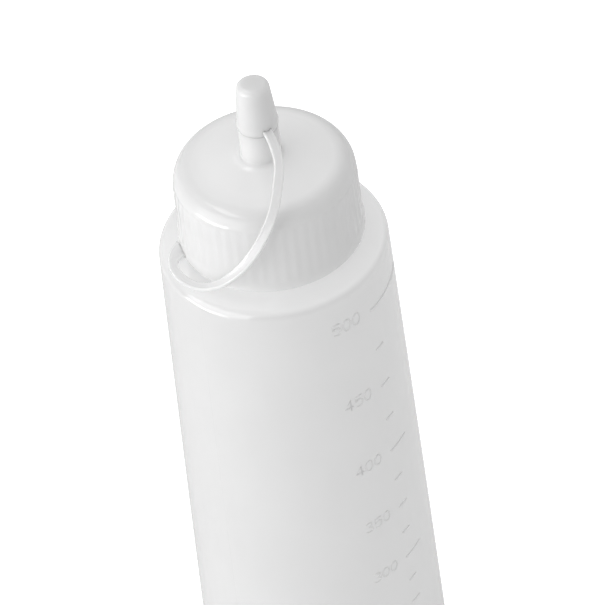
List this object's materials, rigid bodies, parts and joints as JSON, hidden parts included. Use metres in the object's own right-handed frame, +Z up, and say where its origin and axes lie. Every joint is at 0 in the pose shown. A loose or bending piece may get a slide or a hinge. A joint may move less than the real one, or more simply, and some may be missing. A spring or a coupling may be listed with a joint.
{
  "type": "squeeze bottle",
  "caption": "Tapered translucent squeeze bottle with raised volume marks, ribbed screw cap with a conical nozzle, and a tip cap held by a moulded strap.",
  "frame": {"origin": "centre of the base, on the surface it stands on", "axes": "+Z up along the bottle's axis, -Y the front with the volume marks, +X and -X the mould seams"},
  "size_m": [0.0694, 0.0694, 0.2363],
  "materials": {
    "bottle": "milky soft polyethylene, satin",
    "cap": "white translucent moulded polyethylene"
  },
  "bodies": {
    "root": {"bottle": "bottle", "screw_cap": "cap", "tip_cap": "cap"}
  },
  "joints": []
}
